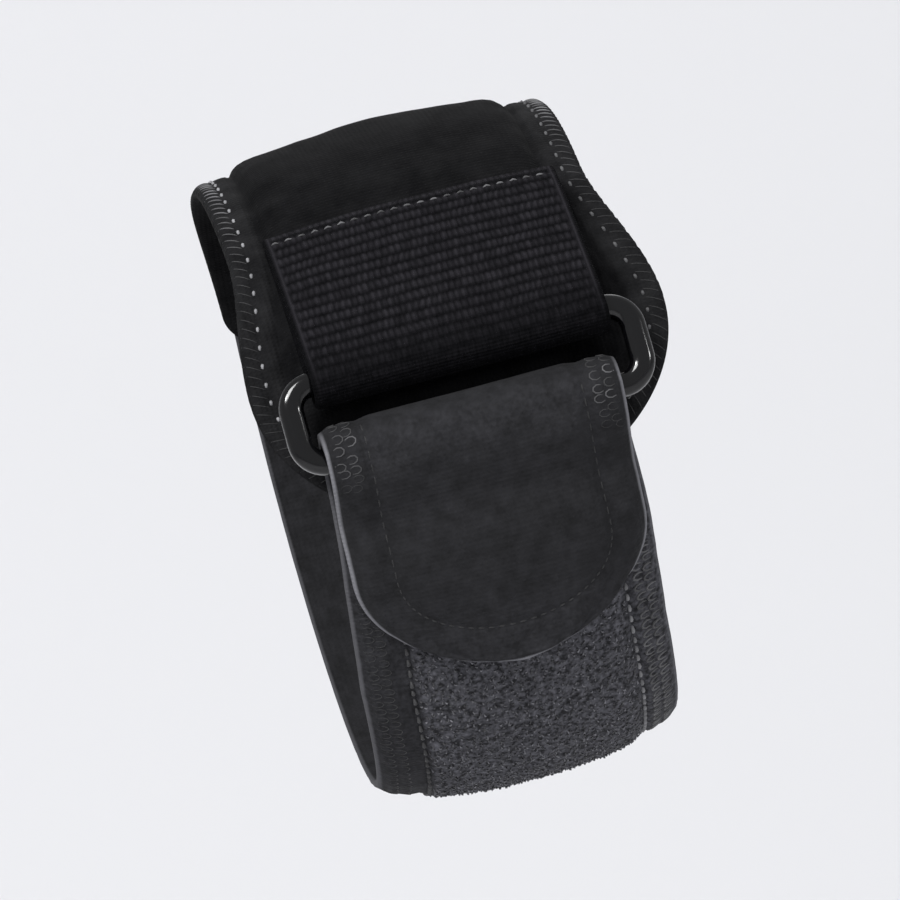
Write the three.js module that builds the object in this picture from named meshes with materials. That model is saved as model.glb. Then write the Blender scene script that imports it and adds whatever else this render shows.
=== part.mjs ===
// Tennis elbow strap, closed round a forearm as it is worn: a padded body with two lobes, an elastic panel
// sewn to it, a plastic ring, and a loop-faced strap that runs round the forearm, passes up through the ring,
// folds back over its lower bar and is held on its own face by a hook patch.
// Millimetres. +X runs along the forearm to the elbow, -Y is the front, +Z is up, and the origin is the
// middle of the hollow that the forearm fills. A "turn" is an angle round the forearm in degrees: 0 is the
// front, 90 the top, 180 the back and 270 the bottom. A "lift" is a height above the forearm's skin.
import * as THREE from "three";

// Hollow for the forearm, an oval
const forearmDepth = 88;
const forearmHeight = 103;

// Gap between pieces that touch
const clearance = 0.35;

// Padded body
const padLobeWidth = 68.6;
const padWaistWidth = 59.4;
const padBackWidth = 54;
const padCoreThickness = 4.4;
const padEdgeThickness = 2.2;
const padCrown = 1.3;
const padLobeDrift = 1.2;
const padFrontTurn = -12;
const padLobeTurn = 17;
const padWaistTurn = 49;
const padTaperTurn = 100;
const padBackTurn = 150;

// Elastic panel, folded round the ring's upper bar
const elasticWidth = 48.5;
const elasticThickness = 1.8;
const elasticCurl = 1.2;
const elasticDrift = 0.2;
const elasticSeamTurn = 43.5;
const ribPitch = 2;
const ribHeight = 0.4;

// Plastic ring
const ringTurn = 9;
const ringOpeningHeight = 8.8;
const ringSideGap = 1.6;
const barWidth = 4;
const barThickness = 3.6;
const barBevel = 0.9;
const ringCornerRadius = 6;

// Strap and its free end, the tab
const strapWidth = 51;
const strapThickness = 4.4;
const strapEdgeThickness = 1.9;
const strapCurl = 2.1;
const strapDrift = 1.3;
const strapBackOverlap = 14;
const strapStepTurn = 20;
const foldSwell = 1.1;
const tabWidth = 48.4;
const tabThickness = 3;
const tabEdgeThickness = 1.7;
const tabDrift = -0.8;
const tabEndTurn = -36.5;
const tabRoundTurn = 19;
const tabRoundness = 2.1;

// Hook patch under the tab
const hookThickness = 0.9;
const hookInset = 5;
const hookStartTurn = -10;

// Spacing of the sections along a band, in degrees
const sectionStep = 4.5;
const endSteps = 6;

// Columns across the thin hook patch, which follows the strap's ribs
const hookColumns = 24;

// Across a laminate, from its middle to its edge: the core's share of its height, and the edge's share
const laminateProfile = [
  { across: 0, core: 1, edge: 1 },
  { across: 0.38, core: 0.97, edge: 1 },
  { across: 0.62, core: 0.84, edge: 1 },
  { across: 0.73, core: 0.52, edge: 1 },
  { across: 0.78, core: 0.02, edge: 0.86 },
  { across: 0.83, core: 0.06, edge: 1 },
  { across: 0.95, core: 0, edge: 1 },
  { across: 1, core: 0, edge: 0.6 },
];
const strapProfile = [
  { across: 0, core: 1, edge: 1 },
  { across: 0.4, core: 0.92, edge: 1 },
  { across: 0.66, core: 0.72, edge: 1 },
  { across: 0.75, core: 0.46, edge: 0.9 },
  { across: 0.81, core: 0.42, edge: 1 },
  { across: 0.94, core: 0.14, edge: 1 },
  { across: 1, core: 0, edge: 0.6 },
];
const elasticProfile = [
  { across: 0, core: 1, edge: 1 },
  { across: 0.5, core: 1, edge: 1 },
  { across: 0.92, core: 1, edge: 1 },
  { across: 1, core: 0, edge: 1 },
];

// Along the padded body, from its front end to its back end: how much of its core it has
const padSections = [
  { along: 0, core: 0 },
  { along: 0.03, core: 0.04 },
  { along: 0.08, core: 0.5 },
  { along: 0.21, core: 0.5 },
  { along: 0.36, core: 1 },
  { along: 0.8, core: 1 },
  { along: 0.9, core: 0 },
  { along: 1, core: 0 },
];
// Along the strap, from its back end to the ring: shares of its curl, its thickness and its drift, and how
// far its width has gone to the tab's width
const strapSections = [
  { along: 0, curl: 0.35, thick: 0.75, drift: 0, narrow: 0 },
  { along: 0.06, curl: 0.35, thick: 0.75, drift: 0, narrow: 0 },
  { along: 0.13, curl: 0.8, thick: 1, drift: 0, narrow: 0 },
  { along: 0.28, curl: 1, thick: 1, drift: 0, narrow: 0 },
  { along: 0.6, curl: 1, thick: 1, drift: 0, narrow: 0 },
  { along: 0.8, curl: 0.9, thick: 0.95, drift: -1, narrow: 0 },
  { along: 0.9, curl: 0.6, thick: 0.85, drift: -0.7, narrow: 0.2 },
  { along: 0.95, curl: 0.3, thick: 0.7, drift: -0.4, narrow: 0.6 },
  { along: 1, curl: 0, thick: 0.64, drift: 0, narrow: 1 },
];

const colours = { pad: 0x1f1f21, elastic: 0x17171a, ring: 0x0d0d0f, strap: 0x2c2c2f, hook: 0x131315 };
const depthRadius = forearmDepth / 2;
const heightRadius = forearmHeight / 2;

// What a table's rows give between them, on straight lines
function readTable(rows, key, at, column) {
  const next = rows.findIndex((row) => row[key] >= at);
  if (next === 0) return rows[0][column];
  if (next < 0) return rows[rows.length - 1][column];
  const low = rows[next - 1];
  const high = rows[next];
  return THREE.MathUtils.mapLinear(at, low[key], high[key], low[column], high[column]);
}

// A smooth change from one value to another as share goes from 0 to 1
function ease(from, to, share) {
  return THREE.MathUtils.lerp(from, to, THREE.MathUtils.smoothstep(share, 0, 1));
}

// Direction out of the forearm, in the plane of Y and Z
function outward(turn) {
  const angle = THREE.MathUtils.degToRad(turn);
  return new THREE.Vector2(-Math.cos(angle) / depthRadius, Math.sin(angle) / heightRadius).normalize();
}

// Point of the plane of Y and Z at a turn and a lift
function onForearm(turn, lift) {
  const angle = THREE.MathUtils.degToRad(turn);
  const skin = new THREE.Vector2(-depthRadius * Math.cos(angle), heightRadius * Math.sin(angle));
  return skin.addScaledVector(outward(turn), lift);
}

// Columns of a band from one edge to the other, as shares of its half width
function columnsOf(profile) {
  const right = profile.map((row) => row.across);
  return [...right.slice(1).reverse().map((across) => -across), ...right];
}

// Evenly spaced values from first to last, no further apart than step
function spread(first, last, step) {
  const count = Math.max(1, Math.ceil(Math.abs(last - first) / step));
  return Array.from({ length: count + 1 }, (_, i) => first + ((last - first) * i) / count);
}

// A closed solid from sections along a band. Each section lists columns of { x, front, back }, with front and
// back in the plane of Y and Z. The front is the side that +X crossed with the band's direction points to.
function bandGeometry(sections) {
  const rows = sections.length;
  const columns = sections[0].length;
  const positions = [];
  for (const side of ["front", "back"]) {
    for (const section of sections) {
      for (const column of section) positions.push(column.x, column[side].x, column[side].y);
    }
  }
  const front = (i, j) => i * columns + j;
  const back = (i, j) => rows * columns + i * columns + j;
  const index = [];
  const quad = (a, b, c, d) => index.push(a, b, c, a, c, d);
  for (let i = 0; i < rows - 1; i++) {
    for (let j = 0; j < columns - 1; j++) {
      quad(front(i, j), front(i, j + 1), front(i + 1, j + 1), front(i + 1, j));
      quad(back(i, j), back(i + 1, j), back(i + 1, j + 1), back(i, j + 1));
    }
    quad(front(i, 0), front(i + 1, 0), back(i + 1, 0), back(i, 0));
    quad(front(i, columns - 1), back(i, columns - 1), back(i + 1, columns - 1), front(i + 1, columns - 1));
  }
  for (let j = 0; j < columns - 1; j++) {
    quad(front(0, j), back(0, j), back(0, j + 1), front(0, j + 1));
    quad(front(rows - 1, j), front(rows - 1, j + 1), back(rows - 1, j + 1), back(rows - 1, j));
  }
  const geometry = new THREE.BufferGeometry();
  geometry.setAttribute("position", new THREE.Float32BufferAttribute(positions, 3));
  geometry.setIndex(index);
  geometry.computeVertexNormals();
  return geometry;
}

function bandMesh(name, sections, colour, roughness) {
  const material = new THREE.MeshStandardMaterial({ color: colour, roughness, metalness: 0 });
  const mesh = new THREE.Mesh(bandGeometry(sections), material);
  mesh.name = name;
  return mesh;
}

// Padded body: half its width, its sideways drift and its height at a turn
function padHalf(turn) {
  const lobe = padLobeWidth / 2;
  const waist = padWaistWidth / 2;
  if (turn < padLobeTurn) {
    const reach = Math.min(1, (padLobeTurn - turn) / (padLobeTurn - padFrontTurn));
    return lobe * Math.sqrt(1 - reach ** 2);
  }
  if (turn < padTaperTurn) return ease(lobe, waist, (turn - padLobeTurn) / (padWaistTurn - padLobeTurn));
  return ease(waist, padBackWidth / 2, (turn - padTaperTurn) / (padBackTurn - padTaperTurn));
}

function padDrift(turn) {
  return ease(padLobeDrift, 0, (turn - padLobeTurn) / (padWaistTurn - padLobeTurn));
}

function padDrop(x) {
  return padCrown * (x / (padWaistWidth / 2)) ** 2;
}

function padTop(turn, x, half) {
  const across = Math.min(1, Math.abs(x - padDrift(turn)) / half);
  const along = (turn - padFrontTurn) / (padBackTurn - padFrontTurn);
  const core = readTable(padSections, "along", along, "core") * readTable(laminateProfile, "across", across, "core");
  const edge = readTable(laminateProfile, "across", across, "edge");
  return edge * padEdgeThickness + core * (padCoreThickness - padEdgeThickness) - padDrop(x);
}

function padSection(turn, half) {
  return columnsOf(laminateProfile).map((across) => {
    const x = padDrift(turn) + across * half;
    return { x, front: onForearm(turn, padTop(turn, x, half)), back: onForearm(turn, -padDrop(x)) };
  });
}

function padBody() {
  const sections = [];
  for (let i = 0; i < endSteps; i++) {
    const angle = THREE.MathUtils.degToRad(78 * (1 - i / endSteps));
    const turn = padLobeTurn - (padLobeTurn - padFrontTurn) * Math.sin(angle);
    sections.push(padSection(turn, padHalf(turn)));
  }
  const cornerTurn = padBackTurn - sectionStep;
  for (const turn of spread(padLobeTurn, cornerTurn, sectionStep)) sections.push(padSection(turn, padHalf(turn)));
  sections.push(padSection(padBackTurn - sectionStep / 4, padHalf(padBackTurn) - strapBackOverlap / 6));
  sections.push(padSection(padBackTurn, padHalf(padBackTurn) - strapBackOverlap / 2));
  return bandMesh("pad_body", sections, colours.pad, 0.95);
}

// Ring: its bars' circle that clears a fold, its lift, and the frame of its plane
const barSpacing = ringOpeningHeight + barWidth;
const barReach = Math.hypot(barWidth / 2 - barBevel, barThickness / 2 - barBevel) + barBevel;
const foldRadius = (barReach + clearance) / Math.cos(Math.PI / endSteps / 2);
const strapAtBar = strapThickness * strapSections[strapSections.length - 1].thick;
const frontCurvature = heightRadius ** 2 / depthRadius;
const ringLift = padTop(ringTurn, 0, padHalf(ringTurn)) + clearance + strapAtBar + foldRadius;
const ringOut = outward(ringTurn);
const ringUp = new THREE.Vector2(-ringOut.y, ringOut.x).multiplyScalar(-1);
const ringCentre = onForearm(ringTurn, ringLift);
const lowerBar = ringCentre.clone().addScaledVector(ringUp, -barSpacing / 2);
const upperBar = ringCentre.clone().addScaledVector(ringUp, barSpacing / 2);
const barTurnStep = THREE.MathUtils.radToDeg(Math.atan(barSpacing / 2 / (frontCurvature + ringLift)));
const barLift = Math.hypot(frontCurvature + ringLift, barSpacing / 2) - frontCurvature;
const ringOpeningWidth = elasticWidth + 2 * (elasticDrift + ringSideGap);

// Rounded rectangle about the origin
function roundedOutline(path, width, height, radius) {
  const x = width / 2;
  const y = height / 2;
  path.moveTo(-x + radius, -y);
  path.lineTo(x - radius, -y);
  path.absarc(x - radius, -y + radius, radius, -Math.PI / 2, 0, false);
  path.lineTo(x, y - radius);
  path.absarc(x - radius, y - radius, radius, 0, Math.PI / 2, false);
  path.lineTo(-x + radius, y);
  path.absarc(-x + radius, y - radius, radius, Math.PI / 2, Math.PI, false);
  path.lineTo(-x, -y + radius);
  path.absarc(-x + radius, -y + radius, radius, Math.PI, Math.PI * 1.5, false);
  return path;
}

function ring() {
  const width = ringOpeningWidth + 2 * barWidth;
  const height = ringOpeningHeight + 2 * barWidth;
  const shape = roundedOutline(new THREE.Shape(), width, height, ringCornerRadius);
  shape.holes.push(roundedOutline(new THREE.Path(), ringOpeningWidth, ringOpeningHeight, ringSideGap));
  const geometry = new THREE.ExtrudeGeometry(shape, {
    depth: barThickness - 2 * barBevel,
    bevelThickness: barBevel,
    bevelSize: barBevel,
    bevelOffset: -barBevel,
    bevelSegments: 2,
    curveSegments: 5,
  });
  geometry.translate(0, 0, barBevel - barThickness / 2);
  const material = new THREE.MeshStandardMaterial({ color: colours.ring, roughness: 0.25, metalness: 0 });
  const mesh = new THREE.Mesh(geometry, material);
  const along = new THREE.Vector3(1, 0, 0);
  const up = new THREE.Vector3(0, ringUp.x, ringUp.y);
  const out = new THREE.Vector3(0, ringOut.x, ringOut.y);
  mesh.quaternion.setFromRotationMatrix(new THREE.Matrix4().makeBasis(along, up, out));
  mesh.position.set(0, ringCentre.x, ringCentre.y);
  mesh.name = "strap_ring";
  return mesh;
}

// Section of a fold round a bar, turned by an angle from the side that faces the forearm. The near face rests
// on the bar, and thickness gives the height of the far face above it at a column.
function foldSection(profile, bar, angle, side, half, drift, thickness) {
  const direction = new THREE.Vector2()
    .addScaledVector(ringOut, -Math.cos(angle))
    .addScaledVector(ringUp, side * Math.sin(angle));
  return columnsOf(profile).map((across) => {
    const near = bar.clone().addScaledVector(direction, foldRadius);
    const far = bar.clone().addScaledVector(direction, foldRadius + thickness(Math.abs(across)));
    return { x: drift + across * half, near, far };
  });
}

// Elastic panel: the layer against the pad, the fold round the upper bar, and the ribbed layer on top
function elasticPanel() {
  const half = elasticWidth / 2;
  const barTurn = ringTurn + barTurnStep;
  const seamLift = padTop(elasticSeamTurn, 0, padHalf(elasticSeamTurn)) + clearance;
  const flat = elasticThickness - ribHeight / 2;
  const layer = (share, under, rib, flip) => {
    const turn = THREE.MathUtils.lerp(elasticSeamTurn, barTurn, share);
    return columnsOf(elasticProfile).map((across) => {
      const base = under - elasticCurl * (1 - share) * across ** 2;
      const over = base + flat + rib * readTable(elasticProfile, "across", Math.abs(across), "core");
      const low = onForearm(turn, base);
      const high = onForearm(turn, over);
      const x = elasticDrift + across * half;
      return flip ? { x, front: low, back: high } : { x, front: high, back: low };
    });
  };
  const sections = [];
  for (const share of spread(0, 0.86, 0.12)) {
    const bare = padTop(THREE.MathUtils.lerp(elasticSeamTurn, barTurn, share), 0, padWaistWidth / 2) + clearance;
    const under = Math.max(bare, THREE.MathUtils.lerp(seamLift, barLift - foldRadius - flat, share ** 2));
    sections.push(layer(share, under, 0, true));
  }
  for (const angle of spread(0, Math.PI, Math.PI / endSteps)) {
    const fold = foldSection(elasticProfile, upperBar, angle, -1, half, elasticDrift, () => flat);
    sections.push(fold.map((column) => ({ x: column.x, front: column.far, back: column.near })));
  }
  const run = (THREE.MathUtils.degToRad(elasticSeamTurn - barTurn) * (frontCurvature + heightRadius)) / 2;
  const ribs = Math.max(3, Math.round(run / ribPitch));
  const seamTop = seamLift + flat + clearance;
  for (let i = 1; i <= 2 * ribs; i++) {
    const share = 0.93 * (1 - i / (2 * ribs));
    const under = THREE.MathUtils.lerp(seamTop, barLift + foldRadius, share ** 1.6);
    sections.push(layer(share, under, i % 2 ? ribHeight : 0, false));
  }
  return bandMesh("elastic_panel", sections, colours.elastic, 0.9);
}

// Strap: from its back end on the pad, round the forearm, to the lower bar
const strapStartTurn = padBackTurn - THREE.MathUtils.radToDeg(strapBackOverlap / heightRadius);
const lowerBarTurn = 360 + ringTurn - barTurnStep;

function strapAlong(turn) {
  return (turn - strapStartTurn) / (lowerBarTurn - strapStartTurn);
}

function strapValue(turn, column) {
  return readTable(strapSections, "along", strapAlong(turn), column);
}

function strapHalf(turn) {
  return THREE.MathUtils.lerp(strapWidth, tabWidth, strapValue(turn, "narrow")) / 2;
}

function strapMiddle(turn) {
  return THREE.MathUtils.lerp(strapDrift * strapValue(turn, "drift"), tabDrift, strapValue(turn, "narrow"));
}

function strapHeight(across, thick) {
  const core = readTable(strapProfile, "across", across, "core");
  const edge = readTable(strapProfile, "across", across, "edge");
  return thick * (edge * strapEdgeThickness + core * (strapThickness - strapEdgeThickness));
}

// The strap's underside lies on the skin, and on the pad where that is under it
function strapSeat(turn) {
  const back = turn - padBackTurn;
  const front = turn - 360 - padFrontTurn;
  const padAt = (at) => padTop(at, 0, padHalf(Math.max(at, padFrontTurn + 1))) + clearance;
  if (back <= 1) return padAt(turn);
  if (front >= -1) return Math.max(padAt(padFrontTurn), padAt(turn - 360));
  if (back < strapStepTurn) return ease(padAt(padBackTurn), 0, (back - 1) / (strapStepTurn - 1));
  return ease(0, padAt(padFrontTurn), (front + strapStepTurn) / (strapStepTurn - 1));
}

function strapUnder(turn, across) {
  return strapSeat(turn) - strapCurl * strapValue(turn, "curl") * across ** 2;
}

// Turns of the strap's sections, and its loop face at a turn and a place across
const strapTurns = spread(strapStartTurn, lowerBarTurn - sectionStep * 0.6, sectionStep);

function strapTopAt(turn, x) {
  const across = Math.min(1, Math.abs(x - strapMiddle(turn)) / strapHalf(turn));
  return strapUnder(turn, across) + strapHeight(across, strapValue(turn, "thick"));
}

function strapTop(turn, x) {
  const next = Math.max(1, strapTurns.findIndex((at) => at >= turn));
  const share = (turn - strapTurns[next - 1]) / (strapTurns[next] - strapTurns[next - 1]);
  return THREE.MathUtils.lerp(strapTopAt(strapTurns[next - 1], x), strapTopAt(strapTurns[next], x), share);
}

function tabHeight(across) {
  const core = readTable(strapProfile, "across", across, "core");
  const edge = readTable(strapProfile, "across", across, "edge");
  return edge * tabEdgeThickness + core * (tabThickness - tabEdgeThickness);
}

// Sections of the tab or the hook patch: the turn, and the share of the width that its round end leaves. The
// straight part has the strap's own sections, so that it lies on them evenly.
function tabSteps(fromTurn, inset) {
  const roundTurn = tabEndTurn + tabRoundTurn;
  const between = strapTurns.map((turn) => turn - 360).filter((turn) => turn < fromTurn - 1 && turn > roundTurn + 1);
  const straight = [fromTurn, ...between.reverse(), roundTurn].map((turn) => ({ turn, width: 1 }));
  const rounded = spread(0, 84, 84 / (endSteps + 1)).slice(1).map((degrees) => {
    const reach = Math.sin(THREE.MathUtils.degToRad(degrees));
    const width = (1 - reach ** tabRoundness) ** (1 / tabRoundness);
    return { turn: roundTurn - (tabRoundTurn - inset) * reach, width };
  });
  return [...straight, ...rounded];
}

function strap() {
  const sections = [];
  for (const turn of strapTurns) {
    sections.push(
      columnsOf(strapProfile).map((across) => {
        const x = strapMiddle(turn) + across * strapHalf(turn);
        const under = onForearm(turn, strapUnder(turn, Math.abs(across)));
        return { x, front: onForearm(turn, strapTopAt(turn, x)), back: under };
      }),
    );
  }
  const thickAtBar = strapAtBar / strapThickness;
  for (const angle of spread(0, Math.PI, Math.PI / (endSteps + 2))) {
    const share = angle / Math.PI;
    const height = (across) => {
      const swell = foldSwell * Math.sin(angle) * across ** 2;
      return THREE.MathUtils.lerp(strapHeight(across, thickAtBar), tabHeight(across), share) + swell;
    };
    const fold = foldSection(strapProfile, lowerBar, angle, 1, tabWidth / 2, tabDrift, height);
    sections.push(fold.map((column) => ({ x: column.x, front: column.near, back: column.far })));
  }
  const barTurn = lowerBarTurn - 360;
  for (const { turn, width } of tabSteps(barTurn - sectionStep * 0.7, 0)) {
    const settled = THREE.MathUtils.smoothstep((barTurn - turn) / (barTurn - hookStartTurn), 0, 1);
    sections.push(
      columnsOf(strapProfile).map((across) => {
        const x = tabDrift + (across * width * tabWidth) / 2;
        const pressed = THREE.MathUtils.smoothstep(Math.abs(across), 0.88, 1);
        const packed = clearance + (hookThickness + clearance) * (1 - pressed);
        const under = THREE.MathUtils.lerp(barLift + foldRadius, strapTop(turn + 360, x) + packed, settled);
        const over = under + tabHeight(Math.abs(across));
        return { x, front: onForearm(turn, under), back: onForearm(turn, over) };
      }),
    );
  }
  return bandMesh("loop_strap", sections, colours.strap, 0.95);
}

// Hook patch between the strap's loop face and the tab
function hookPatch() {
  const half = tabWidth / 2 - hookInset;
  const insetTurn = THREE.MathUtils.radToDeg(hookInset / heightRadius);
  const sections = tabSteps(hookStartTurn, insetTurn).map(({ turn, width }) =>
    spread(-1, 1, 2 / hookColumns).map((across) => {
      const x = tabDrift + across * width * half;
      const under = strapTop(turn + 360, x) + clearance;
      return { x, front: onForearm(turn, under + hookThickness), back: onForearm(turn, under) };
    }),
  );
  return bandMesh("hook_patch", sections.reverse(), colours.hook, 0.6);
}

const elbowStrap = new THREE.Group();
elbowStrap.name = "tennis_elbow_strap";
elbowStrap.add(padBody(), elasticPanel(), ring(), strap(), hookPatch());

export default elbowStrap;
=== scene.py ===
import bpy
import numpy as np
from mathutils import Matrix, Vector


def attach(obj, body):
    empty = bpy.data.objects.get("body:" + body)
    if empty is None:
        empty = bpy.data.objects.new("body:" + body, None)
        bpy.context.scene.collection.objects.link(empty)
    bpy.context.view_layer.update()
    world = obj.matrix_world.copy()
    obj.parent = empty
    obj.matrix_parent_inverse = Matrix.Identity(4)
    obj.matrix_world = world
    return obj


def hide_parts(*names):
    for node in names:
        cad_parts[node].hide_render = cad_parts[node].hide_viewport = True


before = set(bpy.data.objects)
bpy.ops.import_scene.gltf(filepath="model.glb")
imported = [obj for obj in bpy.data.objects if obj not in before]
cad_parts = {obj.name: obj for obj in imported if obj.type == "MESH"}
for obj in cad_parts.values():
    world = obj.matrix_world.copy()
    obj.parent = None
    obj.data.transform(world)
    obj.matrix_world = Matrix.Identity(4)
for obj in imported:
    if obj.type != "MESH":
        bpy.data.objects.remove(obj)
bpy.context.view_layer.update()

# Padded body
# The part that lies over the muscle: a foam core between two layers of stretch jersey, cut with two lobes
# that carry the ring, pressed flat and overlocked round its margin. Every size here is in millimetres. A
# turn is an angle round the forearm, 0 at the front and 90 on top, and a lift is a height above its skin.
MM = 0.001
OVAL_DEPTH, OVAL_HEIGHT = 44.0, 51.5
CLEARANCE = 0.35
PAD_LOBE, PAD_WAIST, PAD_BACK = 34.3, 29.7, 27.0
PAD_CORE, PAD_EDGE, PAD_CROWN, PAD_DRIFT = 4.4, 2.2, 1.3, 1.2
PAD_FRONT, PAD_LOBE_TURN, PAD_WAIST_TURN, PAD_TAPER_TURN, PAD_END = -12.0, 17.0, 49.0, 100.0, 150.0
PAD_CORNER = 7.0
PAD_ROW_INSET, PAD_ROW_PITCH, PAD_SEAM_INSET = 3.2, 3.5, 6.4
STEP_INSETS = [6.2, 6.8, 8, 9.5, 11.3, 14.5, 18.4, 29]
STEP_SHARES = [0, 0.12, 0.5, 0.72, 0.84, 0.92, 0.97, 1]


def off_forearm(turn, lift):
    """Y and Z of a point: the oval's point at the turn, moved along the oval's normal by the lift."""
    angle = np.radians(turn)
    normal_y, normal_z = -np.cos(angle) / OVAL_DEPTH, np.sin(angle) / OVAL_HEIGHT
    size = np.hypot(normal_y, normal_z)
    return (
        -OVAL_DEPTH * np.cos(angle) + lift * normal_y / size,
        OVAL_HEIGHT * np.sin(angle) + lift * normal_z / size,
    )


def ease(start, stop, value):
    """Zero up to start and one from stop, with 3t^2 - 2t^3 between them."""
    t = np.clip((value - start) / (stop - start), 0, 1)
    return t * t * (3 - 2 * t)


def ripple(along, across, size, seed):
    """Soft unevenness, mostly from -1 to 1: seven sine waves of about the given length, turned all ways,
    added up and divided by half their number."""
    pick = np.random.default_rng(seed)
    total = 0
    waves = zip(pick.uniform(0, np.pi, 7), pick.uniform(0.7, 1.5, 7), pick.uniform(0, 6.3, 7))
    for heading, stretch, phase in waves:
        wave = (along * np.cos(heading) + across * np.sin(heading)) * 2 * np.pi / (size * stretch)
        total = total + np.sin(wave + phase)
    return total / 3.5


def lengths(line):
    """Distance along a line to each of its points: the running sum of its steps."""
    return np.concatenate([[0], np.cumsum(np.hypot(*np.diff(line, axis=0).T))])


def from_outline(along, across, outline):
    """Distance of each point of a flat cloth from its outline, and how far along the outline the nearest
    point is: the least distance to the outline's closely spaced points."""
    reach = lengths(outline)
    flat = np.stack([along.ravel(), across.ravel()], axis=1)
    inset, run = np.empty(len(flat)), np.empty(len(flat))
    for start in range(0, len(flat), 4000):
        part = flat[start : start + 4000]
        gap = np.hypot(part[:, None, 0] - outline[None, :, 0], part[:, None, 1] - outline[None, :, 1])
        nearest = gap.argmin(axis=1)
        inset[start : start + 4000], run[start : start + 4000] = gap.min(axis=1), reach[nearest]
    return inset.reshape(along.shape), run.reshape(along.shape)


def cloth_mesh(name, front, back, marks):
    """Closed body of cloth from two grids of points, rows by columns by three, in millimetres: the front
    grid, the back grid turned over, and a strip round the rim. The marks are values kept on the points."""
    rows, columns = front.shape[:2]
    number = np.arange(rows * columns).reshape(rows, columns)
    other = number + rows * columns
    corners = lambda grid: (grid[:-1, :-1], grid[:-1, 1:], grid[1:, 1:], grid[1:, :-1])
    quads = [np.stack(corners(number), -1), np.stack(corners(other)[::-1], -1)]
    rim = np.concatenate([number[0, :-1], number[:-1, -1], number[-1, :0:-1], number[:0:-1, 0]])
    after = np.roll(rim, -1)
    quads.append(np.stack([after, rim, rim + rows * columns, after + rows * columns], -1))
    faces = np.concatenate([part.reshape(-1, 4) for part in quads])
    mesh = bpy.data.meshes.new(name)
    mesh.from_pydata(np.concatenate([front.reshape(-1, 3), back.reshape(-1, 3)]) * MM, [], faces.tolist())
    for key, pair in marks.items():
        values = np.concatenate([np.asarray(grid, float).ravel() for grid in pair])
        mesh.attributes.new(key, "FLOAT", "POINT").data.foreach_set("value", values)
    mesh.shade_smooth()
    piece = bpy.data.objects.new(name, mesh)
    bpy.context.collection.objects.link(piece)
    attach(piece, "root")
    return piece


turn_table = np.linspace(-80, 440, 5201)
length_table = lengths(np.stack(off_forearm(turn_table, 3.0), axis=1))
length_table = length_table - np.interp(0, turn_table, length_table)


def pad_half(turn):
    """Half the pad's width: a quarter ellipse in front of the lobes' widest turn, then eased to the waist and
    to the back end, whose corners are rounded."""
    reach = np.clip((PAD_LOBE_TURN - turn) / (PAD_LOBE_TURN - PAD_FRONT), 0, 1)
    to_waist, to_back = ease(PAD_LOBE_TURN, PAD_WAIST_TURN, turn), ease(PAD_TAPER_TURN, PAD_END, turn)
    half = PAD_LOBE + (PAD_WAIST - PAD_LOBE) * to_waist + (PAD_BACK - PAD_WAIST) * to_back
    left = np.interp(PAD_END, turn_table, length_table) - np.interp(turn, turn_table, length_table)
    corner = PAD_CORNER - np.clip(left, 0, PAD_CORNER)
    return half * np.sqrt(1 - reach**2) - (PAD_CORNER - np.sqrt(PAD_CORNER**2 - corner**2))


def pad_middle(turn):
    """Sideways place of the pad's middle, which drifts towards the elbow at the lobes."""
    return PAD_DRIFT * (1 - ease(PAD_LOBE_TURN, PAD_WAIST_TURN, turn))


def pad_core(turn):
    """Height of the core above the margin, from straight lines between the pad's sections."""
    share = (turn - PAD_FRONT) / (PAD_END - PAD_FRONT)
    core = np.interp(share, [0, 0.03, 0.08, 0.21, 0.36, 0.8, 0.9, 1], [0, 0.04, 0.5, 0.5, 1, 1, 0, 0])
    return core * (PAD_CORE - PAD_EDGE)


lobe_rows = PAD_LOBE_TURN - (PAD_LOBE_TURN - PAD_FRONT) * np.sin(np.radians(np.linspace(88.5, 3, 34)))
end_rows = PAD_END - 9 * (1 - np.sin(np.radians(np.linspace(0, 90, 16))))
pad_turns = np.concatenate([lobe_rows, np.arange(PAD_LOBE_TURN, PAD_END - 9.4, 0.72), end_rows])
pad_x = pad_middle(pad_turns)[:, None] + pad_half(pad_turns)[:, None] * np.linspace(-1, 1, 139)[None, :]
pad_along = np.interp(pad_turns, turn_table, length_table)[:, None] + 0 * pad_x
fine_turns = np.concatenate([lobe_rows, np.arange(PAD_LOBE_TURN, PAD_END - 9.1, 0.3), end_rows])
fine_along = np.interp(fine_turns, turn_table, length_table)
right_side = np.stack([fine_along, pad_middle(fine_turns) + pad_half(fine_turns)], axis=1)
left_side = np.stack([fine_along, pad_middle(fine_turns) - pad_half(fine_turns)], axis=1)
pad_outline = np.concatenate([right_side, np.linspace(right_side[-1], left_side[-1], 90), left_side[::-1]])
pad_inset, pad_run = from_outline(pad_along, pad_x, pad_outline)


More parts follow.
